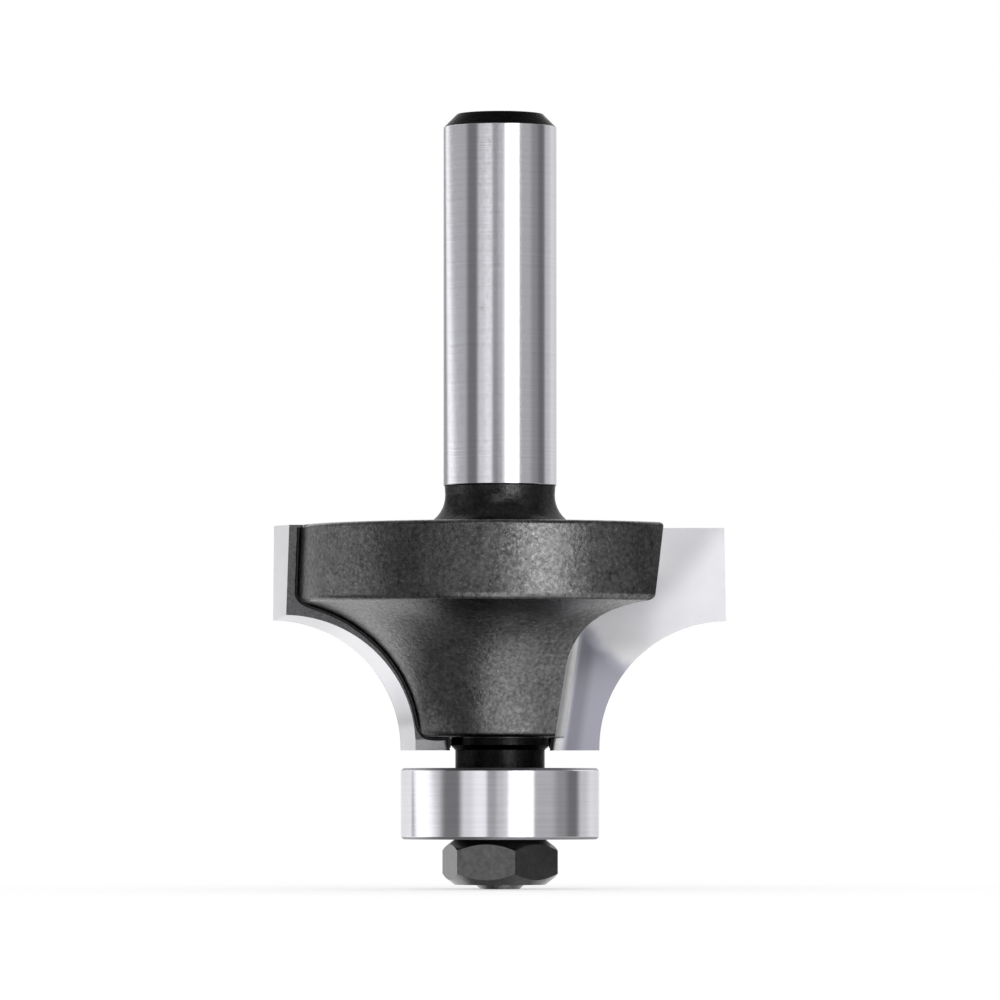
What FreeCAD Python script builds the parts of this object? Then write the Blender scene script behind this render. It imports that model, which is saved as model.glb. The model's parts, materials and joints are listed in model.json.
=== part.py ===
"""Corner-rounding router bit with two brazed carbide tips and a ball-bearing guide.

The bit stands on the end of its threaded stud, with its axis on Z and its shank up.
Lengths are in millimetres and angles in degrees.
"""
import FreeCAD, Part
import math
import os

import Sketcher

# Driving dimensions
DIMENSIONS = {
    # Shank and neck
    "shank_diameter": 8.0,
    "shank_length": 26.2,
    "shank_chamfer": 0.95,
    "neck_diameter": 7.74,
    "neck_taper": 0.03,
    "neck_length": 2.93,
    "neck_fillet_radius": 2.2,
    # Head: a cylindrical band over a concave underside
    "band_diameter": 29.2,
    "underside_radius": 10.75,
    "underside_centre_out": 0.75,
    "underside_centre_down": 0.27,
    "head_corner_radius": 0.45,
    "head_rim_radius": 0.3,
    # Cutting profile
    "cutting_diameter": 32.0,
    "round_radius": 9.0,
    "round_foot_land": 0.12,
    "straight_edge_length": 6.63,
    # Carbide tips
    "tip_thickness": 2.2,
    "tip_drop": 0.92,
    "tip_top_inset": 0.02,
    "tip_inner_offset": 3.65,
    "relief_inward": 1.1,
    "relief_upward": 0.35,
    "relief_drop": 0.68,
    # Gullets, cut by a leaning end mill
    "gullet_wall_offset": 3.87,
    "gullet_width": 11.2,
    "gullet_corner_radius": 4.5,
    "gullet_root_radius": 0.65,
    "gullet_root_lip": 0.08,
    "gullet_side_lean": 8.6,
    "shear_angle": 7.8,
    # Post, journal and threaded stud under the head
    "post_diameter": 6.3,
    "collar_diameter": 7.0,
    "collar_height": 0.55,
    "post_gap": 1.25,
    "journal_clearance": 0.01,
    "journal_relief": 0.2,
    "stud_diameter": 4.0,
    "stud_chamfer": 0.6,
    "stud_protrusion": 0.3,
    # Hexagon nut
    "nut_across_flats": 7.3,
    "nut_height": 3.2,
    "nut_face_diameter": 6.4,
    "nut_chamfer_angle": 38.0,
    "nut_thread_clearance": 0.02,
    "nut_countersink": 0.3,
    "nut_turn": 44.5,
    # Ball bearing
    "bearing_diameter": 14.0,
    "bearing_bore": 5.0,
    "bearing_width": 5.0,
    "bearing_corner": 0.2,
    "bearing_bore_corner": 0.2,
    "inner_land_diameter": 7.8,
    "outer_land_diameter": 11.2,
    "ball_count": 7,
    "ball_diameter": 2.381,
    "ball_pitch_diameter": 9.5,
    "ball_play": 0.01,
    "groove_radius": 1.25,
    # Shields and the snap rings that hold them
    "shield_thickness": 0.2,
    "shield_depth": 0.4,
    "shield_seat_diameter": 12.1,
    "shield_rim_clearance": 0.02,
    "shield_bore_clearance": 0.15,
    "shield_step": 0.22,
    "shield_step_width": 0.3,
    "snap_ring_width": 0.35,
    "snap_ring_height": 0.26,
    "snap_ring_bite": 0.12,
    "snap_ring_opening": 24.0,
    # Ribbon cage
    "cage_thickness": 0.2,
    "cage_width": 0.9,
    "cage_ball_clearance": 0.05,
}

# Heights along the axis, each built on the one below it
NUT_BOTTOM = "dims.stud_protrusion"
NUT_TOP = f"({NUT_BOTTOM} + dims.nut_height)"
BEARING_BOTTOM = NUT_TOP
BEARING_MIDDLE = f"({BEARING_BOTTOM} + dims.bearing_width / 2)"
BEARING_TOP = f"({BEARING_BOTTOM} + dims.bearing_width)"
TIP_BOTTOM = f"({BEARING_TOP} + dims.post_gap)"
HEAD_BOTTOM = f"({TIP_BOTTOM} + dims.tip_drop)"
ROUND_FOOT = f"({TIP_BOTTOM} + dims.round_foot_land)"
ROUND_TOP = f"({ROUND_FOOT} + dims.round_radius)"
TIP_TOP = f"({ROUND_TOP} + dims.straight_edge_length)"
HEAD_TOP = f"({TIP_TOP} + dims.tip_top_inset)"
NECK_TOP = f"({HEAD_TOP} + dims.neck_length)"
SHANK_TOP = f"({NECK_TOP} + dims.shank_length)"

# Radii that several pieces share
SHANK_RADIUS = "dims.shank_diameter / 2"
CUTTING_RADIUS = "dims.cutting_diameter / 2"
BAND_RADIUS = "dims.band_diameter / 2"
JOURNAL_RADIUS = "(dims.bearing_bore / 2 - dims.journal_clearance)"
PITCH_RADIUS = "dims.ball_pitch_diameter / 2"
BALL_RADIUS = "dims.ball_diameter / 2"
SHIELD_SEAT_RADIUS = "dims.shield_seat_diameter / 2"

# The gullet and the tip seat lean together: this much along X and Y for each unit of height
SIDE_LEAN = "tan(dims.gullet_side_lean)"
SHEAR_LEAN = "tan(dims.shear_angle)"
SEAT_DEPTH = "(dims.tip_thickness / cos(dims.shear_angle))"
ROOT_EDGE = "(dims.gullet_wall_offset + dims.gullet_root_radius)"

# Cuts run this far past the surface that they open
OVERSHOOT = 2.0

doc = FreeCAD.newDocument("RouterBit")
pieces = []


def make_sheet():
    """The spreadsheet of driving dimensions, one alias to a row."""
    sheet = doc.addObject("Spreadsheet::Sheet", "dims")
    for row, (alias, value) in enumerate(DIMENSIONS.items(), start=1):
        sheet.set(f"A{row}", alias.replace("_", " "))
        sheet.set(f"B{row}", str(value))
        sheet.setAlias(f"B{row}", alias)
    doc.recompute()
    return sheet


dims = make_sheet()


def value_of(expression):
    """The present value of an expression in the sheet's aliases."""
    result = dims.evalExpression(expression)
    return float(getattr(result, "Value", result))


def bind(item, **expressions):
    """Bind properties to expressions; a double underscore stands for a dot."""
    for name, expression in expressions.items():
        item.setExpression(name.replace("__", "."), expression)


def new_body(name):
    """An empty PartDesign body whose label names its file."""
    body = doc.addObject("PartDesign::Body", name)
    body.Label = name
    pieces.append(body)
    return body


def keep(piece, name):
    """Give a finished Part object the label that names its file."""
    piece.Label = name
    pieces.append(piece)
    return piece


def origin_feature(body, role):
    """One of a body's own origin planes or axes."""
    return next(item for item in body.Origin.OriginFeatures if item.Role == role)


def new_sketch(body, name, plane):
    """A sketch on one of the body's origin planes."""
    sketch = body.newObject("Sketcher::SketchObject", name)
    sketch.AttachmentSupport = [(origin_feature(body, plane), "")]
    sketch.MapMode = "FlatFace"
    return sketch


def pin_point(sketch, geometry, end, across, up):
    """Tie one end of a curve to its distances from the sketch's origin."""
    for kind, expression in (("DistanceX", across), ("DistanceY", up)):
        number = sketch.addConstraint(
            Sketcher.Constraint(kind, -1, 1, geometry, end, value_of(expression)))
        sketch.setExpression(f"Constraints[{number}]", expression)


def bent_run(start, finish, radius, turn):
    """The arc from start to finish; turn is 1 for anticlockwise and -1 for clockwise."""
    chord = finish - start
    reach = math.sqrt(max(radius ** 2 - (chord.Length / 2) ** 2, 0.0))
    left = FreeCAD.Vector(-chord.y, chord.x, 0).normalize()
    centre = (start + finish) / 2 + left * reach * turn
    first, last = (start, finish) if turn > 0 else (finish, start)
    angles = [math.atan2(point.y - centre.y, point.x - centre.x) for point in (first, last)]
    circle = Part.Circle(centre, FreeCAD.Vector(0, 0, 1), radius)
    return Part.ArcOfCircle(circle, angles[0], angles[1])


def draw_outline(sketch, points):
    """Draw a closed outline.

    A point is (across, up), reached by a straight line, or (across, up, radius, turn),
    reached by an arc. The first point is the end of the last run.
    """
    places = [FreeCAD.Vector(value_of(point[0]), value_of(point[1]), 0) for point in points]
    starts, ends = [], []
    for index, point in enumerate(points):
        start, finish = places[index - 1], places[index]
        if len(point) == 2:
            curve = sketch.addGeometry(Part.LineSegment(start, finish), False)
            starts.append((curve, 1))
            ends.append((curve, 2))
            continue
        across, up, radius, turn = point
        curve = sketch.addGeometry(bent_run(start, finish, value_of(radius), turn), False)
        number = sketch.addConstraint(Sketcher.Constraint("Radius", curve, value_of(radius)))
        sketch.setExpression(f"Constraints[{number}]", radius)
        starts.append((curve, 1 if turn > 0 else 2))
        ends.append((curve, 2 if turn > 0 else 1))
    for index, point in enumerate(points):
        following = starts[(index + 1) % len(points)]
        sketch.addConstraint(Sketcher.Constraint("Coincident", *ends[index], *following))
        pin_point(sketch, *ends[index], point[0], point[1])


def revolve(body, name, points, cut=False):
    """Turn an outline about the axis, as added or as removed material."""
    sketch = new_sketch(body, f"{name}_outline", "XZ_Plane")
    draw_outline(sketch, points)
    kind = "PartDesign::Groove" if cut else "PartDesign::Revolution"
    feature = body.newObject(kind, name)
    feature.Profile = sketch
    feature.ReferenceAxis = (sketch, ["V_Axis"])
    feature.Angle = 360
    return feature


def circle_edges(shape, radius, height):
    """Names of the circular edges of one radius at one height."""
    names = []
    for number, edge in enumerate(shape.Edges, start=1):
        if isinstance(edge.Curve, Part.Circle):
            right_size = abs(edge.Curve.Radius - radius) < 1e-4
            if right_size and abs(edge.Curve.Center.z - height) < 1e-4:
                names.append(f"Edge{number}")
    return names


def round_edges(body, name, base, edges, radius):
    """Round some edges of the body's last feature."""
    feature = body.newObject("PartDesign::Fillet", name)
    feature.Base = (base, edges)
    bind(feature, Radius=radius)
    return feature


def leaning_pocket(body, name, points):
    """Cut a plan outline at the foot of the head, upwards and leaning, right through it."""
    sketch = new_sketch(body, f"{name}_outline", "XY_Plane")
    bind(sketch, AttachmentOffset__Base__z=HEAD_BOTTOM)
    draw_outline(sketch, points)
    feature = body.newObject("PartDesign::Pocket", name)
    feature.Profile = sketch
    feature.UseCustomVector = True
    feature.Direction = FreeCAD.Vector(0, 0, 1)
    bind(feature, Direction__x=SIDE_LEAN, Direction__y=SHEAR_LEAN)
    bind(feature, Length=f"{HEAD_TOP} - {HEAD_BOTTOM} + {OVERSHOOT}")
    feature.AlongSketchNormal = True
    return feature


# The head's underside is one concave arc, a little outside the path of the cutting edge
UNDERSIDE_CENTRE = f"({CUTTING_RADIUS} + dims.underside_centre_out)"
UNDERSIDE_CENTRE_HEIGHT = f"({ROUND_FOOT} - dims.underside_centre_down)"
UNDERSIDE_FOOT = (f"({UNDERSIDE_CENTRE} - sqrt(dims.underside_radius ^ 2"
                  f" - ({HEAD_BOTTOM} - {UNDERSIDE_CENTRE_HEIGHT}) ^ 2))")
BAND_BOTTOM = (f"({UNDERSIDE_CENTRE_HEIGHT} + sqrt(dims.underside_radius ^ 2"
               f" - ({UNDERSIDE_CENTRE} - {BAND_RADIUS}) ^ 2))")
COLLAR_BOTTOM = f"({HEAD_BOTTOM} - dims.collar_height)"
COLLAR_STEP = "((dims.collar_diameter - dims.post_diameter) / 2)"
NECK_STEP = f"({SHANK_RADIUS} - dims.neck_diameter / 2 - dims.neck_taper)"


def make_cutter_body():
    """Shank, neck, head, post, journal and stud: one bar, turned and then milled."""
    body = new_body("cutter_body")
    journal_foot = f"{BEARING_BOTTOM} + dims.journal_relief"
    turned = revolve(body, "turned_bar", [
        ("0", "0"),
        ("dims.stud_diameter / 2 - dims.stud_chamfer", "0"),
        ("dims.stud_diameter / 2", "dims.stud_chamfer"),
        ("dims.stud_diameter / 2", journal_foot),
        (JOURNAL_RADIUS, journal_foot),
        (JOURNAL_RADIUS, BEARING_TOP),
        ("dims.post_diameter / 2", BEARING_TOP),
        ("dims.post_diameter / 2", f"{COLLAR_BOTTOM} - {COLLAR_STEP}"),
        ("dims.collar_diameter / 2", COLLAR_BOTTOM),
        ("dims.collar_diameter / 2", HEAD_BOTTOM),
        (UNDERSIDE_FOOT, HEAD_BOTTOM),
        (BAND_RADIUS, BAND_BOTTOM, "dims.underside_radius", -1),
        (BAND_RADIUS, HEAD_TOP),
        ("dims.neck_diameter / 2 + dims.neck_fillet_radius", HEAD_TOP),
        ("dims.neck_diameter / 2", f"{HEAD_TOP} + dims.neck_fillet_radius",
         "dims.neck_fillet_radius", -1),
        ("dims.neck_diameter / 2 + dims.neck_taper", f"{NECK_TOP} - {NECK_STEP}"),
        (SHANK_RADIUS, NECK_TOP),
        (SHANK_RADIUS, f"{SHANK_TOP} - dims.shank_chamfer"),
        (f"{SHANK_RADIUS} - dims.shank_chamfer", SHANK_TOP),
        ("0", SHANK_TOP),
    ])
    doc.recompute()
    corners = circle_edges(turned.Shape, value_of(UNDERSIDE_FOOT), value_of(HEAD_BOTTOM))
    corners += circle_edges(turned.Shape, value_of(BAND_RADIUS), value_of(BAND_BOTTOM))
    rounded = round_edges(body, "head_corners", turned, corners, "dims.head_corner_radius")
    doc.recompute()
    rim = circle_edges(rounded.Shape, value_of(BAND_RADIUS), value_of(HEAD_TOP))
    round_edges(body, "head_rim", rounded, rim, "dims.head_rim_radius")

    wall = "dims.gullet_wall_offset"
    front = "-dims.gullet_width"
    outside = f"{CUTTING_RADIUS} + {OVERSHOOT}"
    flute = leaning_pocket(body, "gullet_and_tip_seat", [
        (wall, f"{front} + dims.gullet_corner_radius"),
        (f"{wall} + dims.gullet_corner_radius", front, "dims.gullet_corner_radius", 1),
        (outside, front),
        (outside, SEAT_DEPTH),
        ("dims.tip_inner_offset", SEAT_DEPTH),
        ("dims.tip_inner_offset", "0"),
        (ROOT_EDGE, "0"),
        (ROOT_EDGE, "-dims.gullet_root_lip"),
        (wall, "-dims.gullet_root_lip - dims.gullet_root_radius", "dims.gullet_root_radius", 1),
    ])
    flutes = body.newObject("PartDesign::PolarPattern", "two_flutes")
    flutes.Originals = [flute]
    flutes.Axis = (origin_feature(body, "Z_Axis"), [""])
    flutes.Angle = 360
    flutes.Occurrences = 2
    body.Tip = flutes
    return body


def tip_outline(body, name, set_back, inward, upward, drop):
    """One side of a tip, in a plane that leans with the gullet.

    The straight edge lies on the cutting circle, less the drop. The round is moved inward and
    upward. All three are the relief behind the edge, so they are nothing on the rake face.
    """
    sketch = new_sketch(body, name, "XZ_Plane")
    sketch.AttachmentOffset = FreeCAD.Placement(
        FreeCAD.Vector(0, 0, 0), FreeCAD.Rotation(FreeCAD.Vector(-1, 0, 0), 1))
    bind(sketch, AttachmentOffset__Base__y=HEAD_BOTTOM, AttachmentOffset__Base__z=f"-{set_back}",
         AttachmentOffset__Rotation__Angle="dims.shear_angle")

    def slope(height):
        return f"(({height}) - {HEAD_BOTTOM}) / cos(dims.shear_angle)"

    def inner_edge(height):
        return f"dims.tip_inner_offset + (({height}) - {HEAD_BOTTOM}) * {SIDE_LEAN}"

    def outer_edge(height):
        behind_axis = f"((({height}) - {HEAD_BOTTOM}) * {SHEAR_LEAN} + {set_back})"
        return f"sqrt(({CUTTING_RADIUS} - {drop}) ^ 2 - {behind_axis} ^ 2)"

    foot = f"{CUTTING_RADIUS} - dims.round_radius - {inward}"
    edge_foot = f"{ROUND_TOP} + {upward}"
    draw_outline(sketch, [
        (inner_edge(TIP_BOTTOM), slope(TIP_BOTTOM)),
        (foot, slope(TIP_BOTTOM)),
        (foot, slope(ROUND_FOOT)),
        (outer_edge(ROUND_TOP), slope(edge_foot),
         f"(dims.round_radius + {upward} / 2) / sqrt(cos(dims.shear_angle))", -1),
        (outer_edge(TIP_TOP), slope(TIP_TOP)),
        (inner_edge(TIP_TOP), slope(TIP_TOP)),
    ])
    return sketch


def make_carbide_tip(number, turn):
    """A brazed tip: flat rake face, ruled relief behind the cutting edge."""
    body = new_body(f"carbide_tip_{number}")
    face = tip_outline(body, f"rake_face_{number}", "0", "0", "0", "0")
    back = tip_outline(body, f"back_face_{number}", SEAT_DEPTH,
                       "dims.relief_inward", "dims.relief_upward", "dims.relief_drop")
    blank = body.newObject("PartDesign::AdditiveLoft", f"ground_tip_{number}")
    blank.Profile = face
    blank.Sections = [back]
    blank.Ruled = True
    body.Placement = FreeCAD.Placement(
        FreeCAD.Vector(0, 0, 0), FreeCAD.Rotation(FreeCAD.Vector(0, 0, 1), turn))
    return body


def make_nut():
    """Hexagon nut, chamfered on both faces, its thread left as a plain bore."""
    body = new_body("retaining_nut")
    corner_radius = "dims.nut_across_flats / sqrt(3)"
    prism = body.newObject("PartDesign::AdditivePrism", "hexagon")
    prism.Polygon = 6
    bind(prism, Circumradius=corner_radius, Height="dims.nut_height")
    bind(prism, AttachmentOffset__Base__z=NUT_BOTTOM)
    prism.AttachmentSupport = [(origin_feature(body, "XY_Plane"), "")]
    prism.MapMode = "FlatFace"
    beyond = f"{corner_radius} + {OVERSHOOT}"
    face = "dims.nut_face_diameter / 2"
    drop = f"({beyond} - {face}) * tan(dims.nut_chamfer_angle)"
    revolve(body, "upper_chamfer", [
        (face, NUT_TOP), (beyond, f"{NUT_TOP} - {drop}"), (beyond, NUT_TOP)], cut=True)
    revolve(body, "lower_chamfer", [
        (face, NUT_BOTTOM), (beyond, NUT_BOTTOM), (beyond, f"{NUT_BOTTOM} + {drop}")], cut=True)
    bore = "dims.stud_diameter / 2 + dims.nut_thread_clearance"
    sink = "dims.nut_countersink"
    revolve(body, "bore", [
        ("0", NUT_BOTTOM),
        (f"{bore} + {sink}", NUT_BOTTOM),
        (bore, f"{NUT_BOTTOM} + {sink}"),
        (bore, f"{NUT_TOP} - {sink}"),
        (f"{bore} + {sink}", NUT_TOP),
        ("0", NUT_TOP),
    ], cut=True)
    body.Placement = FreeCAD.Placement(
        FreeCAD.Vector(0, 0, 0), FreeCAD.Rotation(FreeCAD.Vector(0, 0, 1), 1))
    bind(body, Placement__Rotation__Angle="dims.nut_turn")
    return body


def groove_half_height(land, centre):
    """Half the height of a race's mouth, where its groove meets its land."""
    return f"sqrt(dims.groove_radius ^ 2 - ({land} - {centre}) ^ 2)"


def make_inner_ring():
    """Inner ring of the bearing, clamped between the post and the nut."""
    body = new_body("bearing_inner_ring")
    bore = "dims.bearing_bore / 2"
    land = "dims.inner_land_diameter / 2"
    corner = "dims.bearing_bore_corner"
    centre = f"({PITCH_RADIUS} - {BALL_RADIUS} - dims.ball_play + dims.groove_radius)"
    mouth = groove_half_height(land, centre)
    revolve(body, "inner_race", [
        (f"{bore} + {corner}", BEARING_BOTTOM),
        (land, BEARING_BOTTOM),
        (land, f"{BEARING_MIDDLE} - {mouth}"),
        (land, f"{BEARING_MIDDLE} + {mouth}", "dims.groove_radius", -1),
        (land, BEARING_TOP),
        (f"{bore} + {corner}", BEARING_TOP),
        (bore, f"{BEARING_TOP} - {corner}"),
        (bore, f"{BEARING_BOTTOM} + {corner}"),
    ])
    return body


def make_outer_ring():
    """Outer ring, with a shield seat and a snap-ring groove in each face."""
    body = new_body("bearing_outer_ring")
    rim = "dims.bearing_diameter / 2"
    land = "dims.outer_land_diameter / 2"
    corner = "dims.bearing_corner"
    seat = SHIELD_SEAT_RADIUS
    notch = f"{seat} + dims.snap_ring_bite"
    centre = f"({PITCH_RADIUS} + {BALL_RADIUS} + dims.ball_play - dims.groove_radius)"
    mouth = groove_half_height(land, centre)
    floor = "(dims.shield_depth + dims.shield_thickness)"
    ring_foot = "dims.shield_depth"
    ring_head = "(dims.shield_depth - dims.snap_ring_height)"
    revolve(body, "outer_race", [
        (f"{rim} - {corner}", BEARING_BOTTOM),
        (rim, f"{BEARING_BOTTOM} + {corner}"),
        (rim, f"{BEARING_TOP} - {corner}"),
        (f"{rim} - {corner}", BEARING_TOP),
        (seat, BEARING_TOP),
        (seat, f"{BEARING_TOP} - {ring_head}"),
        (notch, f"{BEARING_TOP} - {ring_head}"),
        (notch, f"{BEARING_TOP} - {ring_foot}"),
        (seat, f"{BEARING_TOP} - {ring_foot}"),
        (seat, f"{BEARING_TOP} - {floor}"),
        (land, f"{BEARING_TOP} - {floor}"),
        (land, f"{BEARING_MIDDLE} + {mouth}"),
        (land, f"{BEARING_MIDDLE} - {mouth}", "dims.groove_radius", -1),
        (land, f"{BEARING_BOTTOM} + {floor}"),
        (seat, f"{BEARING_BOTTOM} + {floor}"),
        (seat, f"{BEARING_BOTTOM} + {ring_foot}"),
        (notch, f"{BEARING_BOTTOM} + {ring_foot}"),
        (notch, f"{BEARING_BOTTOM} + {ring_head}"),
        (seat, f"{BEARING_BOTTOM} + {ring_head}"),
        (seat, BEARING_BOTTOM),
    ])
    return body


def face_height(side, depth):
    """Height of a plane that lies some depth inside the bearing's upper or lower face."""
    return f"({BEARING_TOP} - ({depth}))" if side > 0 else f"({BEARING_BOTTOM} + ({depth}))"


def make_shield(name, side):
    """Pressed shield: a flat seat at the rim and a disc that steps out towards the face."""
    body = new_body(name)
    rim = f"{SHIELD_SEAT_RADIUS} - dims.shield_rim_clearance"
    bore = "dims.inner_land_diameter / 2 + dims.shield_bore_clearance"
    seat_edge = f"{SHIELD_SEAT_RADIUS} - dims.snap_ring_width - dims.shield_step_width / 2"
    step_edge = f"{seat_edge} - dims.shield_step_width"
    outer = "dims.shield_depth"
    inner = "dims.shield_depth + dims.shield_thickness"
    raised = f"{outer} - dims.shield_step"
    raised_back = f"{inner} - dims.shield_step"
    revolve(body, f"{name}_disc", [
        (bore, face_height(side, raised)),
        (step_edge, face_height(side, raised)),
        (seat_edge, face_height(side, outer)),
        (rim, face_height(side, outer)),
        (rim, face_height(side, inner)),
        (seat_edge, face_height(side, inner)),
        (step_edge, face_height(side, raised_back)),
        (bore, face_height(side, raised_back)),
    ])
    return body


def make_snap_ring(name, side):
    """Open spring ring that holds a shield on its seat."""
    body = new_body(name)
    inside = f"{SHIELD_SEAT_RADIUS} - dims.snap_ring_width"
    outside = f"{SHIELD_SEAT_RADIUS} + dims.snap_ring_bite - dims.shield_rim_clearance"
    top = face_height(side, "dims.shield_depth - dims.snap_ring_height")
    foot = face_height(side, "dims.shield_depth")
    ring = revolve(body, f"{name}_wire", [
        (inside, top), (outside, top), (outside, foot), (inside, foot)])
    bind(ring, Angle="360 - dims.snap_ring_opening")
    return body


def ball_angle(index):
    """Place of one ball round the axis, from the X axis."""
    return f"(360 / dims.ball_count * {index})"


def place_on_pitch(item, index):
    """Put an object's centre where one ball's centre is."""
    bind(item, Placement__Base__x=f"{PITCH_RADIUS} * cos({ball_angle(index)})",
         Placement__Base__y=f"{PITCH_RADIUS} * sin({ball_angle(index)})",
         Placement__Base__z=BEARING_MIDDLE)


def make_sphere(name, index, radius):
    """A sphere on the pitch circle."""
    sphere = doc.addObject("Part::Sphere", name)
    bind(sphere, Radius=radius)
    place_on_pitch(sphere, index)
    return sphere


def make_tube(name, inside, outside, foot, height):
    """A plain ring between two radii."""
    outer = doc.addObject("Part::Cylinder", f"{name}_outside")
    bind(outer, Radius=outside, Height=height, Placement__Base__z=foot)
    inner = doc.addObject("Part::Cylinder", f"{name}_inside")
    bind(inner, Radius=inside, Height=height, Placement__Base__z=foot)
    tube = doc.addObject("Part::Cut", name)
    tube.Base = outer
    tube.Tool = inner
    return tube


def make_cage_half(name, side):
    """One half of a pressed ribbon cage: flat webs with a cup over each ball."""
    count = int(DIMENSIONS["ball_count"])
    cup_inside = f"({BALL_RADIUS} + dims.cage_ball_clearance)"
    cup_outside = f"({cup_inside} + dims.cage_thickness)"
    inside = f"{PITCH_RADIUS} - dims.cage_width / 2"
    outside = f"{PITCH_RADIUS} + dims.cage_width / 2"
    web_foot = BEARING_MIDDLE if side > 0 else f"{BEARING_MIDDLE} - dims.cage_thickness"
    band_foot = BEARING_MIDDLE if side > 0 else f"{BEARING_MIDDLE} - {cup_outside}"
    web = make_tube(f"{name}_web", inside, outside, web_foot, "dims.cage_thickness")
    band = make_tube(f"{name}_band", inside, outside, band_foot, cup_outside)
    cups = doc.addObject("Part::MultiFuse", f"{name}_cups")
    cups.Shapes = [make_sphere(f"{name}_cup_{n + 1}", n, cup_outside) for n in range(count)]
    cup_band = doc.addObject("Part::Common", f"{name}_cup_band")
    cup_band.Base = cups
    cup_band.Tool = band
    blank = doc.addObject("Part::Fuse", f"{name}_blank")
    blank.Base = web
    blank.Tool = cup_band
    hollows = doc.addObject("Part::MultiFuse", f"{name}_hollows")
    hollows.Shapes = [make_sphere(f"{name}_hollow_{n + 1}", n, cup_inside) for n in range(count)]
    half = doc.addObject("Part::Cut", name)
    half.Base = blank
    half.Tool = hollows
    return keep(half, name)


def make_balls():
    """The bearing's balls, evenly spaced on the pitch circle."""
    for index in range(int(DIMENSIONS["ball_count"])):
        name = f"bearing_ball_{index + 1}"
        keep(make_sphere(name, index, BALL_RADIUS), name)


def check(items):
    """Stop if any object failed or any piece has no valid solid."""
    for item in items:
        state = item.State
        if "Invalid" in state or "Error" in state:
            raise RuntimeError(f"{item.Name} failed: {state}")
    for piece in pieces:
        if piece.Shape.isNull() or not piece.Shape.isValid() or not piece.Shape.Solids:
            raise RuntimeError(f"{piece.Label} has no valid solid")


def main():
    """Build every piece, check it and write its file."""
    make_cutter_body()
    make_carbide_tip(1, 0)
    make_carbide_tip(2, 180)
    make_nut()
    make_inner_ring()
    make_outer_ring()
    for name, side in (("upper", 1), ("lower", -1)):
        make_shield(f"bearing_{name}_shield", side)
        make_snap_ring(f"shield_snap_ring_{name}", side)
        make_cage_half(f"bearing_cage_{name}", side)
    make_balls()
    doc.recompute()
    check(doc.Objects)
    os.makedirs("parts", exist_ok=True)
    for piece in pieces:
        piece.Shape.exportStep(f"parts/{piece.Label}.step")
        print(f"{piece.Label}: {len(piece.Shape.Solids)} solid, {piece.Shape.Volume:.2f} cubic mm")


main()
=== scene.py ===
import functools
import json
import math
from collections import namedtuple

import bpy
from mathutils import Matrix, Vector


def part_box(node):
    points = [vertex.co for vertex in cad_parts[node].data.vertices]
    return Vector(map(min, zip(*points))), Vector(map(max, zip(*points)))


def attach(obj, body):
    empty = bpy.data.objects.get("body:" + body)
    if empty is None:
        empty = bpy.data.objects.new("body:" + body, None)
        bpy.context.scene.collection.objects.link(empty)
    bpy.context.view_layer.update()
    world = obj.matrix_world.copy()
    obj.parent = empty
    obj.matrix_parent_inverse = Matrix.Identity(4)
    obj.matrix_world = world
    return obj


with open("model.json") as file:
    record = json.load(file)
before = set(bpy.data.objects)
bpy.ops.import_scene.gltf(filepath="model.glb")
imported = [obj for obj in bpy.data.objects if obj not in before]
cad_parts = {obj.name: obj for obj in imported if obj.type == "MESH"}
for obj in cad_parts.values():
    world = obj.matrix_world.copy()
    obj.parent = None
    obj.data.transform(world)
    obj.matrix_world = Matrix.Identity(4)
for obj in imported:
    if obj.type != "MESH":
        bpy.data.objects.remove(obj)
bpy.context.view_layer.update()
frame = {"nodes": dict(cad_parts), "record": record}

scene = bpy.context.scene
MM = 0.001

# Heights of the bit, in mm above the stud's end
NUT_FOOT = 0.30
HEAD_FOOT = 10.67
TIP_TOP = 25.50
HEAD_TOP = 25.52
NECK_TOP = 28.45
CHAMFER_FOOT = 53.70

# The head's band, and the circle that its concave underside follows, in mm
BAND_RADIUS = 14.6
UNDERSIDE_RADIUS = 10.75
UNDERSIDE_CENTRE = 16.75
UNDERSIDE_CENTRE_HEIGHT = 9.60

# The gullets and the tips in them, in mm, and how far they lean for each unit of height
GULLET_WALL = 3.87
GULLET_FRONT = -11.2
GULLET_CORNER = 4.5
TIP_THICKNESS = 2.2
SHEAR_ANGLE = math.radians(7.8)
SHEAR_LEAN = math.tan(SHEAR_ANGLE)
SIDE_LEAN = math.tan(math.radians(8.6))


# Small helpers for shader graphs

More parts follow.
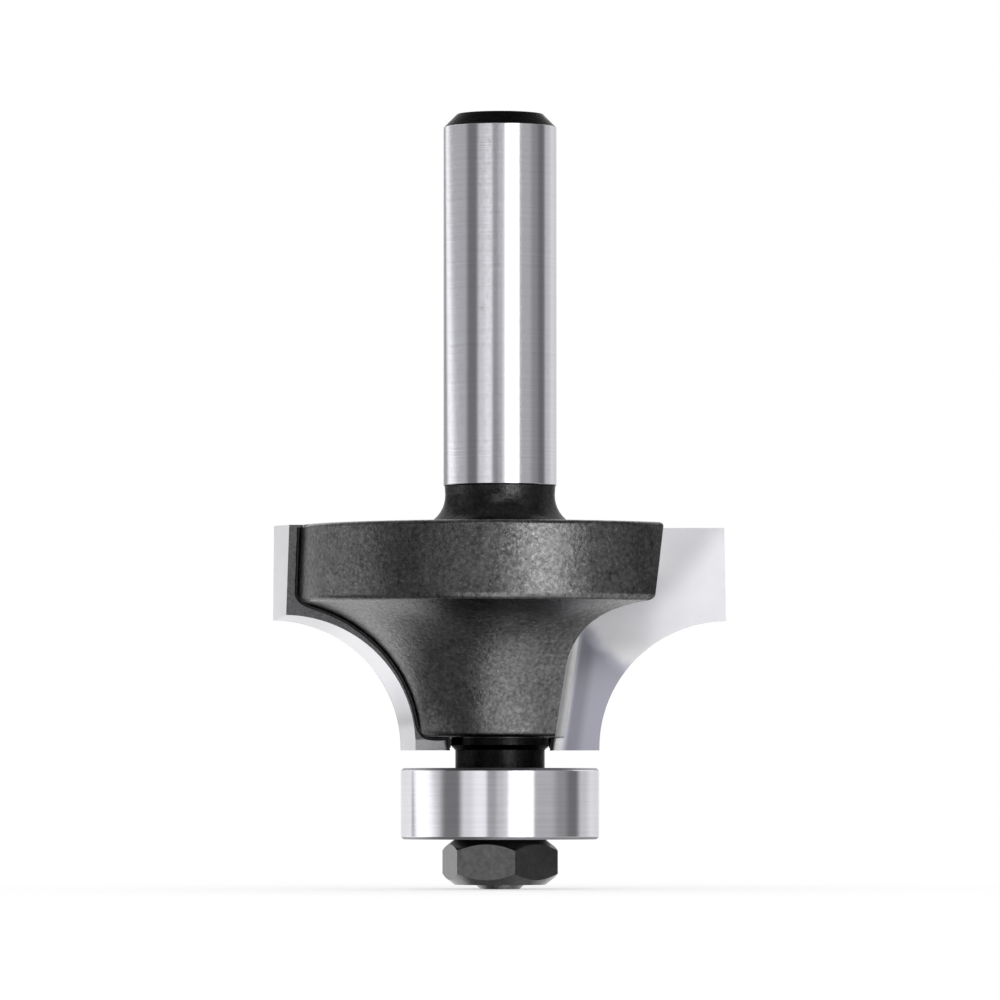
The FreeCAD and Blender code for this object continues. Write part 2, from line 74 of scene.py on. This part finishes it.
class Graph:
    """Adds shader nodes to a tree; a value is a number, a colour, a node or a node's output."""

    # Blender's noise seldom leaves this range
    NOISE_LOW = 0.3
    NOISE_HIGH = 0.7

    def __init__(self, tree):
        self.tree = tree
        self.tree.nodes.clear()

    def put(self, socket, value):
        if isinstance(value, bpy.types.Node):
            value = value.outputs[0]
        if isinstance(value, bpy.types.NodeSocket):
            self.tree.links.new(value, socket)
        else:
            socket.default_value = value

    def node(self, kind, **inputs):
        made = self.tree.nodes.new(kind)
        for name, value in inputs.items():
            self.put(made.inputs[name.replace("_", " ")], value)
        return made

    def math(self, operation, a, b=0.0):
        made = self.tree.nodes.new("ShaderNodeMath")
        made.operation = operation
        self.put(made.inputs[0], a)
        self.put(made.inputs[1], b)
        return made.outputs[0]

    def plus(self, a, b):
        return self.math("ADD", a, b)

    def minus(self, a, b):
        return self.math("SUBTRACT", a, b)

    def times(self, a, b):
        return self.math("MULTIPLY", a, b)

    def largest(self, values):
        return functools.reduce(lambda a, b: self.math("MAXIMUM", a, b), values)

    def ramp(self, value, low, high, out_low=0.0, out_high=1.0, smooth=True):
        """Runs from out_low to out_high while the value runs from low to high."""
        made = self.tree.nodes.new("ShaderNodeMapRange")
        made.interpolation_type = "SMOOTHSTEP" if smooth else "LINEAR"
        for name, given in (("Value", value), ("From Min", low), ("From Max", high),
                            ("To Min", out_low), ("To Max", out_high)):
            self.put(made.inputs[name], given)
        return made.outputs[0]

    def below(self, value, low, high):
        """1 below low, fading to 0 at high."""
        return self.ramp(value, low, high, 1.0, 0.0)

    def band(self, value, low, high, soft):
        """1 between low and high, fading to 0 over the softness at each end."""
        up = self.ramp(value, low - soft / 2, low + soft / 2)
        return self.times(up, self.below(value, high - soft / 2, high + soft / 2))

    def mix(self, share, first, second):
        """The first number where the share is 0, the second where it is 1."""
        made = self.tree.nodes.new("ShaderNodeMix")
        made.data_type = "FLOAT"
        self.put(made.inputs["Factor"], share)
        self.put(made.inputs["A"], first)
        self.put(made.inputs["B"], second)
        return made.outputs["Result"]

    def noise(self, vector, scale, detail, roughness):
        """Noise with its scale per metre: 3000 gives grain of about a third of a millimetre."""
        return self.node("ShaderNodeTexNoise", Vector=vector, Scale=scale, Detail=detail,
                         Roughness=roughness).outputs[0]

    def vary(self, noise, low, high, smooth=True):
        """A number that wanders between low and high with the noise."""
        return self.ramp(noise, self.NOISE_LOW, self.NOISE_HIGH, low, high, smooth)

    def turning_lines(self, place, fineness):
        """Fine lines round the bit's axis, as turning and grinding leave them."""
        stretched = self.node("ShaderNodeMapping", Vector=place, Scale=(60.0, 60.0, fineness))
        return self.noise(stretched, 1.0, 2.0, 0.6)

    def colour(self, red, green, blue):
        return self.node("ShaderNodeCombineColor", Red=red, Green=green, Blue=blue)

    def bump(self, height, distance=0.01 * MM, strength=1.0):
        return self.node("ShaderNodeBump", Strength=strength, Distance=distance, Height=height)

    def mix_shaders(self, share, first, second):
        made = self.tree.nodes.new("ShaderNodeMixShader")
        for socket, value in zip(made.inputs, (share, first, second)):
            self.put(socket, value)
        return made


def grey(level):
    return (level, level, level, 1.0)


def new_material(name):
    """A material with one shader, and the place on the object that its patterns follow."""
    material = bpy.data.materials.new(name)
    material.use_nodes = True
    graph = Graph(material.node_tree)
    shader = graph.node("ShaderNodeBsdfPrincipled")
    graph.node("ShaderNodeOutputMaterial", Surface=shader)
    place = graph.node("ShaderNodeTexCoord").outputs["Object"]
    return material, graph, shader, place


def finish_material(graph, shader, looks):
    """Gives the shader each named look: a plain value on its own socket, or a link."""
    for name, value in looks.items():
        graph.put(shader.inputs[name], value)


# The studio: what the metal reflects, as soft upright cards round the bit
# Angles are degrees from the camera, more to the right; levels are light, 1 is white

FILL = 0.80         # on dull surfaces, from all sides
SURROUND = 0.08     # round the cards that end low
OVERHEAD = 0.30     # above all the cards
CARD_EDGE = 3.0     # softness of a card's upper and lower end
LEAN_CENTRE = 3.5   # the rise at which a leaning card starts at its own angle
LEAN_LOWEST = -1.5  # below this rise, and above the next, a card runs straight on
LEAN_HIGHEST = 8.0

# Each card runs from its start to the next one's, and leans by some degrees for each of rise
Card = namedtuple("Card", "start soft level lowest highest lean", defaults=(-50.0, 42.0, 0.0))
CARDS = [
    Card(-180.0, 8.0, 0.42),                             # far left, dim
    Card(-139.0, 8.0, 1.32, lean=-6.0),                  # large box on the left
    Card(-114.0, 9.0, 0.46, lean=-8.6),                  # grey card on the left
    Card(-71.0, 12.0, 0.19),                             # dark flag on the left
    Card(-46.0, 10.0, 0.78, lowest=-2.5, highest=6.5),   # front box on the left
    Card(-31.0, 12.0, 1.02, lowest=-2.5, highest=6.5),   # its bright core
    Card(-15.0, 5.0, 0.50, lowest=-2.5, highest=6.5),    # dim gap in front
    Card(-4.0, 6.0, 0.76, lowest=-2.5, highest=6.5),     # middle of the front
    Card(13.5, 12.0, 4.60, highest=11.0),                # bright front box on the right
    Card(37.0, 9.0, 0.48),                               # grey card on the right
    Card(67.0, 14.0, 0.30),                              # its dim end
    Card(84.0, 12.0, 0.17),                              # dark flag on the right
    Card(104.0, 12.0, 0.62),                             # far box on the right
    Card(124.0, 20.0, 0.88),                             # its bright core
]

# The lit table under the bit, in sectors: its light far out and close to the bit
Sector = namedtuple("Sector", "start soft far close")
TABLE = [
    Sector(-180.0, 20.0, 1.35, 0.28),                    # far left
    Sector(-128.0, 20.0, 0.27, 0.22),                    # left
    Sector(-22.0, 14.0, 1.55, 1.50),                     # front
    Sector(38.0, 20.0, 1.00, 1.00),                      # right
    Sector(100.0, 24.0, 0.78, 0.62),                     # far right
    Sector(142.0, 20.0, 0.78, 0.30),                     # behind
]


def started(graph, angle, piece):
    """1 past the start of a card or sector, 0 before it."""
    return graph.ramp(angle, piece.start - piece.soft / 2, piece.start + piece.soft / 2)


def card_levels(graph, angle, rise):
    """The light of the upright cards."""
    near = graph.math("MINIMUM", graph.math("MAXIMUM", rise, LEAN_LOWEST), LEAN_HIGHEST)
    offset = graph.minus(near, LEAN_CENTRE)
    level = None
    for card in CARDS:
        upright = graph.band(rise, card.lowest, card.highest, CARD_EDGE)
        light = graph.mix(upright, SURROUND, card.level)
        if level is None:
            level = light
        else:
            across = graph.minus(angle, graph.times(offset, card.lean))
            level = graph.mix(started(graph, across, card), level, light)
    return level


def patch(graph, level, across, upright, light):
    """Other light over the cards, where both shares are 1."""
    return graph.mix(graph.times(across, upright), level, light)


def front_patches(graph, level, angle, rise):
    """What differs in front of the bit, each over its own span of angle and rise."""
    # a dimmer slot across the bright front box, level with the bearing
    level = patch(graph, level, graph.band(angle, 6.0, 46.0, 4.0),
                  graph.band(rise, -1.7, 0.9, 0.8), graph.math("MINIMUM", level, 1.12))
    # a dark gap between the front boxes, seen by the shank's lower end
    level = patch(graph, level, graph.band(angle, -16.0, 4.0, 8.0),
                  graph.band(rise, 0.7, 2.8, 0.6), 0.05)
    # a bright sheet above the camera; the flat tip faces look at it
    return patch(graph, level, graph.band(angle, -17.0, 15.0, 10.0),
                 graph.band(rise, 12.0, 32.0, 6.0), 1.50)


def table_levels(graph, level, angle, rise):
    """Below the cards the metal sees the lit table."""
    close = graph.below(rise, -52.0, -38.0)
    table = None
    for sector in TABLE:
        light = graph.mix(close, sector.far, sector.close)
        table = light if table is None else graph.mix(started(graph, angle, sector), table, light)
    return graph.mix(graph.below(rise, -16.0, -8.0), level, table)


def back_patches(graph, level, angle, rise):
    """The white backdrop behind the bit, which curves up; walls turned away look at it."""
    away = graph.math("ABSOLUTE", angle)
    level = patch(graph, level, graph.ramp(away, 125.0, 145.0),
                  graph.band(rise, 16.0, 62.0, 8.0), 1.45)
    # on the left the table's far edge comes further round
    level = patch(graph, level, graph.band(angle, -168.0, -124.5, 5.0),
                  graph.band(rise, -10.0, 1.0, 2.0), 0.98)
    return patch(graph, level, graph.ramp(away, 154.0, 170.0),
                 graph.band(rise, -45.0, 16.0, 8.0), 1.05)


def build_studio():
    """Reflections see the cards, the camera sees white, and the rest gets an even fill."""
    world = bpy.data.worlds.new("studio")
    scene.world = world
    world.use_nodes = True
    graph = Graph(world.node_tree)
    direction = graph.node("ShaderNodeTexCoord").outputs["Generated"]
    split = graph.node("ShaderNodeSeparateXYZ", Vector=direction)
    towards = graph.times(split.outputs["Y"], -1.0)
    degrees = 180.0 / math.pi
    angle = graph.times(graph.math("ARCTAN2", split.outputs["X"], towards), degrees)
    rise = graph.times(graph.math("ARCSINE", split.outputs["Z"]), degrees)

    level = card_levels(graph, angle, rise)
    level = front_patches(graph, level, angle, rise)
    level = table_levels(graph, level, angle, rise)
    level = graph.mix(graph.ramp(rise, 40.0, 55.0), level, OVERHEAD)
    level = back_patches(graph, level, angle, rise)

    mirrored = graph.node("ShaderNodeBackground", Color=graph.colour(level, level, level))
    white = graph.node("ShaderNodeBackground", Color=grey(1.0))
    fill = graph.node("ShaderNodeBackground", Color=grey(FILL))
    path = graph.node("ShaderNodeLightPath").outputs
    mirror = graph.largest((path["Is Glossy Ray"], path["Is Transmission Ray"]))
    seen = graph.mix_shaders(path["Is Camera Ray"], graph.mix_shaders(mirror, fill, mirrored), white)
    graph.node("ShaderNodeOutputWorld", Surface=seen)


build_studio()


# Floor: white and plain, it keeps a soft contact shadow

FLOOR_RADIUS = 3.0
FLOOR_PAPER = 0.60  # what the paper reflects, and the glow that brings it up to white
FLOOR_GLOW = 0.53


def build_floor():
    bpy.ops.mesh.primitive_circle_add(vertices=96, radius=FLOOR_RADIUS, fill_type="NGON",
                                      location=(0.0, 0.0, 0.0))
    floor = bpy.context.object
    floor.name = "floor"
    material = bpy.data.materials.new("white_floor")
    material.use_nodes = True
    graph = Graph(material.node_tree)
    paper = graph.node("ShaderNodeBsdfDiffuse", Color=grey(FLOOR_PAPER))
    glow = graph.node("ShaderNodeEmission", Color=grey(1.0), Strength=FLOOR_GLOW)
    nothing = graph.node("ShaderNodeEmission", Color=grey(1.0), Strength=0.0)
    path = graph.node("ShaderNodeLightPath").outputs
    seen = graph.largest((path["Is Camera Ray"], path["Is Glossy Ray"]))
    total = graph.node("ShaderNodeAddShader")
    graph.put(total.inputs[0], paper)
    graph.put(total.inputs[1], graph.mix_shaders(seen, nothing, glow))
    graph.node("ShaderNodeOutputMaterial", Surface=total)
    floor.data.materials.append(material)
    floor.visible_glossy = False


build_floor()


# Camera at the photograph's viewing angle: level with the bearing, a little upwards
# Places are in metres, the lens and the sensor in mm

CAMERA_DISTANCE = 0.540
CAMERA_HEIGHT = 0.0063
AIM_HEIGHT = 0.0274
LENS = 275.9
SENSOR = 36.0


def build_camera():
    data = bpy.data.cameras.new("camera")
    data.sensor_width = SENSOR
    data.sensor_height = SENSOR
    data.sensor_fit = "HORIZONTAL"
    data.lens = LENS
    data.clip_start = 0.01
    data.clip_end = 20.0
    camera = bpy.data.objects.new("camera", data)
    scene.collection.objects.link(camera)
    camera.location = (0.0, -CAMERA_DISTANCE, CAMERA_HEIGHT)
    aim = Vector((0.0, 0.0, AIM_HEIGHT)) - camera.location
    camera.rotation_euler = aim.to_track_quat("-Z", "Y").to_euler()
    scene.camera = camera


build_camera()


# Materials

def flute_places(graph, place):
    """Each flute's own coordinates, in mm: (across from its wall, back from its rake face)."""
    split = graph.node("ShaderNodeSeparateXYZ", Vector=place)
    x, y, height = (graph.times(split.outputs[name], 1 / MM) for name in "XYZ")
    up = graph.minus(height, HEAD_FOOT)
    across_lean = graph.times(up, SIDE_LEAN)
    back_lean = graph.times(up, SHEAR_LEAN)
    flutes = []
    for turn in (1.0, -1.0):
        flutes.append((graph.minus(graph.times(x, turn), across_lean),
                       graph.minus(graph.times(y, turn), back_lean)))
    return flutes, height


def milled_share(graph, flutes, height):
    """1 where the mill has cut the gullets, 0 on the turned head."""
    inside = []
    for across, back in flutes:
        short = graph.minus(GULLET_WALL + GULLET_CORNER, across)
        ahead = graph.minus(GULLET_FRONT + GULLET_CORNER, back)
        sides = [graph.math("POWER", graph.math("MAXIMUM", side, 0.0), 2.0)
                 for side in (short, ahead)]
        reach = graph.math("SQRT", graph.plus(*sides))
        within = graph.below(reach, GULLET_CORNER + 0.010, GULLET_CORNER + 0.025)
        # a gullet ends just behind the rake face
        inside.append(graph.times(within, graph.below(back, 0.27, 0.30)))
    return graph.times(graph.largest(inside), graph.band(height, HEAD_FOOT + 0.03, TIP_TOP, 0.04))


# Levels and roughnesses of the tool steel; a pair is the range that its noise covers
GROUND_LEVEL = (0.73, 0.80)
GROUND_ROUGHNESS = (0.11, 0.16)
MILLED_LEVEL = (0.57, 0.63)
MILLED_ROUGHNESS = 0.50
BLASTED_LEVEL = (0.105, 0.145)
BLASTED_GRAIN = (-0.06, 0.09)
BLASTED_ROUGHNESS = (0.23, 0.29)
NECK_SHARE = 0.26   # of the blasted level; the post and the shank's end get the next one
POST_SHARE = 0.07
STUD_SHARE = 1.1
FOOT_SHADOW_SHARE = 0.42   # painted shadow on the corner round the head's foot


def blasted_level(graph, place, patches, grain):
    """Shot-blasted and blackened steel: dull grain, paler flecks and faint clouds."""
    flecks = graph.ramp(graph.noise(place, 4200.0, 1.0, 0.5), 0.64, 0.78)
    clouds = graph.noise(place, 140.0, 2.0, 0.5)
    level = graph.ramp(patches, 0.3, 0.72, *BLASTED_LEVEL, smooth=False)
    level = graph.plus(level, graph.ramp(grain, 0.3, 0.75, *BLASTED_GRAIN, smooth=False))
    level = graph.plus(level, graph.times(flecks, 0.10))
    return graph.times(level, graph.vary(clouds, 0.93, 1.07))


def make_tool_steel():
    """One turned bar: ground bright shank, satin gullets, the rest blasted and blackened."""
    material, graph, shader, place = new_material("tool_steel_look")
    flutes, height = flute_places(graph, place)
    grain = graph.noise(place, 3400.0, 4.0, 0.65)
    patches = graph.noise(place, 750.0, 3.0, 0.6)

    # where each finish is, and where the painted shadow at the head's foot ends
    bright = graph.band(height, NECK_TOP - 0.02, CHAMFER_FOOT + 0.02, 0.06)
    milled = milled_share(graph, flutes, height)
    head = graph.band(height, HEAD_FOOT - 0.07, HEAD_TOP - 0.008, 0.012)
    clear_of_foot_shadow = graph.band(height, HEAD_FOOT + 0.25, HEAD_TOP + 0.08, 0.24)
    neck = graph.band(height, HEAD_TOP - 0.12, NECK_TOP - 0.02, 0.10)
    stud = graph.below(height, NUT_FOOT + 0.05, NUT_FOOT + 0.20)

    # ground surface: faint fine lines round the shank, and small specks
    lines = graph.turning_lines(place, 9000.0)
    stretched = graph.node("ShaderNodeMapping", Vector=place, Scale=(3500.0, 3500.0, 2200.0))
    specks = graph.noise(stretched, 1.0, 2.0, 0.6)
    ground = graph.plus(graph.vary(lines, *GROUND_LEVEL, smooth=False),
                        graph.ramp(specks, 0.62, 0.8, 0.0, -0.09))

    # blasted surface: the neck, the post and the shank's end are near black
    dark = blasted_level(graph, place, patches, grain)
    black = graph.times(dark, graph.mix(neck, POST_SHARE, NECK_SHARE))
    black = graph.mix(stud, black, graph.times(dark, STUD_SHARE))
    black = graph.plus(black, graph.mix(neck, 0.004, 0.012))
    # painted shadow: the head darkens towards its foot
    dark = graph.times(dark, graph.mix(clear_of_foot_shadow, FOOT_SHADOW_SHARE, 1.0))

    level = graph.mix(head, black, dark)
    level = graph.mix(milled, level, graph.vary(patches, *MILLED_LEVEL))
    level = graph.mix(bright, level, ground)
    blue = graph.times(level, graph.mix(bright, 1.01, 1.06))
    rough = graph.vary(patches, *BLASTED_ROUGHNESS, smooth=False)
    rough = graph.mix(milled, rough, MILLED_ROUGHNESS)
    rough = graph.mix(bright, rough, graph.vary(specks, *GROUND_ROUGHNESS, smooth=False))
    edge = graph.mix(head, graph.mix(stud, 0.50, 1.0), 1.0)
    relief = graph.mix(graph.largest((bright, milled)), grain, graph.times(lines, 0.05))
    finish_material(graph, shader, {
        "Base Color": graph.colour(level, level, blue),
        "Roughness": rough,
        "Metallic": graph.mix(milled, 1.0, 0.5),
        "Specular Tint": graph.mix(bright, edge, 0.78),
        "Normal": graph.bump(relief, distance=0.03 * MM),
    })
    return material


# Levels and roughnesses of the carbide
RAKE_LEVEL = 0.92
# painted shade where the head overhangs the rake
RAKE_LEVEL_SHADED_BY_HEAD = 0.68
RELIEF_LEVEL = 0.88
# painted shade with some heat tint from brazing, on the rake near the root
TINTED_SHADED_LEVEL = 0.44
# painted shade on the tip's back
SHADED_BACK_LEVEL = (0.07, 0.15)
STAIN_LEVEL = 0.02
RAKE_ROUGHNESS = 0.26
RELIEF_ROUGHNESS = 0.16
BACK_ROUGHNESS = 0.38
STAIN_ROUGHNESS = 0.60


def along(graph, outward, height, outward_part, height_part):
    """A point's distance in mm along a slanting direction."""
    return graph.plus(graph.times(outward, outward_part), graph.times(height, height_part))


def make_carbide():
    """Ground carbide: satin faces with painted shade, painted light and some heat tint on the rake,
    a dull back darkened by painted shade, braze stain.
    """
    material, graph, shader, place = new_material("carbide_look")
    flutes, height = flute_places(graph, place)
    grain = graph.noise(place, 5200.0, 3.0, 0.6)
    clouds = graph.noise(place, 420.0, 2.0, 0.5)

    # where the rake face and the back are, and how far out a point is from its own wall
    rakes, backs, reaches = [], [], []
    for across, back in flutes:
        own_side = graph.math("GREATER_THAN", across, 0.0)
        rakes.append(graph.times(own_side, graph.below(back, 0.02, 0.06)))
        backs.append(graph.times(own_side, graph.ramp(back, TIP_THICKNESS - 0.07,
                                                      TIP_THICKNESS - 0.01)))
        reaches.append(graph.times(own_side, across))
    rake = graph.largest(rakes)
    shaded_back = graph.largest(backs)
    across = graph.largest(reaches)
    outward = graph.plus(across, graph.times(graph.minus(height, HEAD_FOOT), SIDE_LEAN))

    # painted shade with some heat tint from brazing: the rake face is darker and violet below a
    # slanting line near the root, darkest beside the root strip
    tint_and_shade_line = graph.plus(along(graph, outward, height, 0.728, 0.686),
                           graph.vary(clouds, -0.35, 0.35))
    tint_and_shade = graph.times(graph.below(tint_and_shade_line, 16.2, 17.8), graph.ramp(across, 4.2, 4.9))
    tint_and_shade = graph.times(tint_and_shade, rake)
    deeper_shade = graph.times(tint_and_shade, graph.band(across, 4.6, 5.7, 0.8))

    # ground faces: pale, with painted shade where the head overhangs the rake and painted light
    # nearer the axis
    near_head = along(graph, outward, height, -0.78, 0.625)
    head_shade = graph.times(graph.ramp(near_head, 2.6, 4.7), graph.ramp(height, 18.5, 21.5))
    # painted light: the rake is up to 12% brighter nearer the axis
    pale = graph.times(graph.mix(head_shade, RAKE_LEVEL, RAKE_LEVEL_SHADED_BY_HEAD),
                       graph.ramp(outward, 9.0, 13.0, 1.12, 1.0))
    pale = graph.times(graph.mix(rake, RELIEF_LEVEL, pale), graph.vary(clouds, 0.97, 1.03))
    # painted shade with heat tint near the root, deepest beside the root strip
    level = graph.times(graph.mix(tint_and_shade, pale, TINTED_SHADED_LEVEL), graph.mix(deeper_shade, 1.0, 0.70))

    # the tip's back shows only as a dull edge, darkened as painted shade beside the head and paler
    # below the head's foot
    below_head = graph.below(height, HEAD_FOOT - 0.27, HEAD_FOOT - 0.07)
    shaded_back_level = graph.plus(graph.vary(grain, *SHADED_BACK_LEVEL, smooth=False), graph.times(below_head, 0.30))
    stain = graph.below(across, 3.80, 4.05)
    level = graph.mix(stain, graph.mix(shaded_back, level, shaded_back_level), STAIN_LEVEL)
    rough = graph.mix(rake, RELIEF_ROUGHNESS, RAKE_ROUGHNESS)
    rough = graph.mix(stain, graph.mix(shaded_back, rough, BACK_ROUGHNESS), STAIN_ROUGHNESS)
    finish_material(graph, shader, {
        "Base Color": graph.colour(graph.times(level, 0.985), graph.times(level, 0.98),
                                   graph.times(level, graph.mix(tint_and_shade, 1.02, 1.15))),
        "Roughness": rough,
        "Metallic": 0.5,
        "Normal": graph.bump(graph.times(grain, shaded_back)),
    })
    return material


def make_bearing_steel():
    """Ground rings; the corners of both rings are darker and duller, as painted shade along the
    rings' edges.
    """
    material, graph, shader, place = new_material("bearing_look")
    low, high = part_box("bearing_outer_ring")
    middle = (low[2] + high[2]) / 2 / MM
    half = (high[2] - low[2]) / 2 / MM
    split = graph.node("ShaderNodeSeparateXYZ", Vector=place)
    height = graph.times(split.outputs["Z"], 1 / MM)
    from_middle = graph.math("ABSOLUTE", graph.minus(height, middle))
    corner = graph.ramp(from_middle, half - 0.19, half - 0.15)
    lines = graph.turning_lines(place, 7000.0)
    patches = graph.noise(place, 320.0, 2.0, 0.5)
    ground = graph.times(graph.vary(lines, 0.79, 0.84, smooth=False),
                         graph.vary(patches, 0.97, 1.03))
    # painted shade: the ring corners are darker
    level = graph.mix(corner, ground, 0.34)
    finish_material(graph, shader, {
        "Base Color": graph.colour(level, level, graph.times(level, 1.06)),
        "Roughness": graph.mix(corner, graph.vary(patches, 0.08, 0.11), 0.42),
        "Metallic": 1.0,
        "Specular Tint": grey(0.85),
        "Normal": graph.bump(lines, strength=0.04),
    })
    return material


def make_metal(name, level, spread, roughness, grain_scale, bump, green=1.0, blue=1.0, edge=1.0):
    """Metal with grain; green and blue tint it, and edge dims it at glancing angles."""
    material, graph, shader, place = new_material(name)
    grain = graph.noise(place, grain_scale, 3.0, 0.6)
    patches = graph.noise(place, grain_scale * 0.12, 2.0, 0.5)
    shade = graph.times(graph.vary(grain, level - spread, level + spread, smooth=False),
                        graph.vary(patches, 0.94, 1.06))
    finish_material(graph, shader, {
        "Base Color": graph.colour(shade, graph.times(shade, green), graph.times(shade, blue)),
        "Roughness": graph.vary(patches, roughness * 0.85, roughness * 1.2),
        "Metallic": 1.0,
        "Specular Tint": grey(edge),
        "Normal": graph.bump(grain, strength=bump),
    })
    return material


LOOKS = {
    "tool_steel": make_tool_steel(),
    "carbide": make_carbide(),
    "blackened_nut": make_metal("nut_look", level=0.15, spread=0.03, roughness=0.17,
                                grain_scale=3000.0, bump=0.3, blue=1.02, edge=0.9),
    "bearing_steel": make_bearing_steel(),
    "shield_steel": make_metal("shield_look", level=0.55, spread=0.05, roughness=0.30,
                               grain_scale=2400.0, bump=0.1, blue=1.01),
    "spring_steel": make_metal("spring_look", level=0.36, spread=0.05, roughness=0.28,
                               grain_scale=2400.0, bump=0.1, blue=1.02),
    "cage_steel": make_metal("cage_look", level=0.52, spread=0.05, roughness=0.32,
                             grain_scale=2400.0, bump=0.1, green=0.95, blue=0.86),
    "ball_steel": make_metal("ball_look", level=0.85, spread=0.01, roughness=0.05,
                             grain_scale=1500.0, bump=0.01, blue=1.01),
}


def dress_nodes():
    """Gives each node of the frame the look of its material slot."""
    for part in frame["record"]["subparts"]:
        look = LOOKS[part["material_slot"]]
        mesh = frame["nodes"][part["node"]].data
        if not mesh.materials:
            mesh.materials.append(look)
        for index in range(len(mesh.materials)):
            mesh.materials[index] = look


dress_nodes()


# Braze: a thin dark seam where the body's edge meets the back of each tip

SEAM_RADIUS = 0.13
SEAM_OUT = 0.10     # how far the seam's middle stands off the head
SEAM_UNEVEN = 0.22  # how much its radius varies, as solidified filler does

# Heights of its points, in mm: down the band, then down the underside; their corner is at 20.13
BAND_HEIGHTS = [HEAD_TOP - 0.22 - 0.40 * i for i in range(12)] + [20.45]
UNDERSIDE_HEIGHTS = [20.02 - 0.45 * i for i in range(20)]

# Round the head's foot and down the tip's inner edge: how far out, and above the head's foot
SEAM_END = [(5.50, 0.15), (5.16, -0.07), (4.70, -0.12), (4.20, -0.12), (3.80, -0.07),
            (3.58, -0.03), (3.57, -0.37), (3.60, -0.72)]


def back_depth(z):
    """How far behind the axis the back of the first tip is at a height, in mm."""
    return TIP_THICKNESS / math.cos(SHEAR_ANGLE) + SHEAR_LEAN * (z - HEAD_FOOT)


def seam_points():
    """Points in mm down the body's edge on the plane of the first tip's back."""
    points = []
    for z in BAND_HEIGHTS:
        x = math.sqrt(BAND_RADIUS ** 2 - back_depth(z) ** 2)
        points.append((x + SEAM_OUT, back_depth(z), z))
    for z in UNDERSIDE_HEIGHTS:
        up = z - UNDERSIDE_CENTRE_HEIGHT
        reach = math.sqrt(UNDERSIDE_RADIUS ** 2 - up ** 2)
        x = math.sqrt((UNDERSIDE_CENTRE - reach) ** 2 - back_depth(z) ** 2)
        slope = up / reach
        outward = SEAM_OUT / math.hypot(1.0, slope)
        points.append((x + outward, back_depth(z), z - outward * slope))
    for x, above_foot in SEAM_END:
        z = HEAD_FOOT + above_foot
        points.append((x, back_depth(z), z))
    return points


def make_seam(number, turn, look):
    curve = bpy.data.curves.new(f"braze_seam_{number}", "CURVE")
    curve.dimensions = "3D"
    curve.bevel_depth = SEAM_RADIUS * MM
    curve.bevel_resolution = 3
    curve.resolution_u = 4
    curve.use_fill_caps = True
    points = seam_points()
    spline = curve.splines.new("NURBS")
    spline.points.add(len(points) - 1)
    for index, (point, (x, y, z)) in enumerate(zip(spline.points, points)):
        point.co = (turn * x * MM, turn * y * MM, z * MM, 1.0)
        point.radius = 1.0 + SEAM_UNEVEN * math.sin(index * 2.3) * math.sin(index * 0.9)
    spline.order_u = 3
    spline.use_endpoint_u = True
    seam = bpy.data.objects.new(f"braze_seam_{number}", curve)
    scene.collection.objects.link(seam)
    seam.data.materials.append(look)
    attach(seam, "cutter")


seam_look = make_metal("seam_look", level=0.030, spread=0.012, roughness=0.45,
                       grain_scale=5200.0, bump=0.4, blue=1.05)
make_seam(1, 1.0, seam_look)
make_seam(2, -1.0, seam_look)

scene.view_settings.view_transform = "Standard"
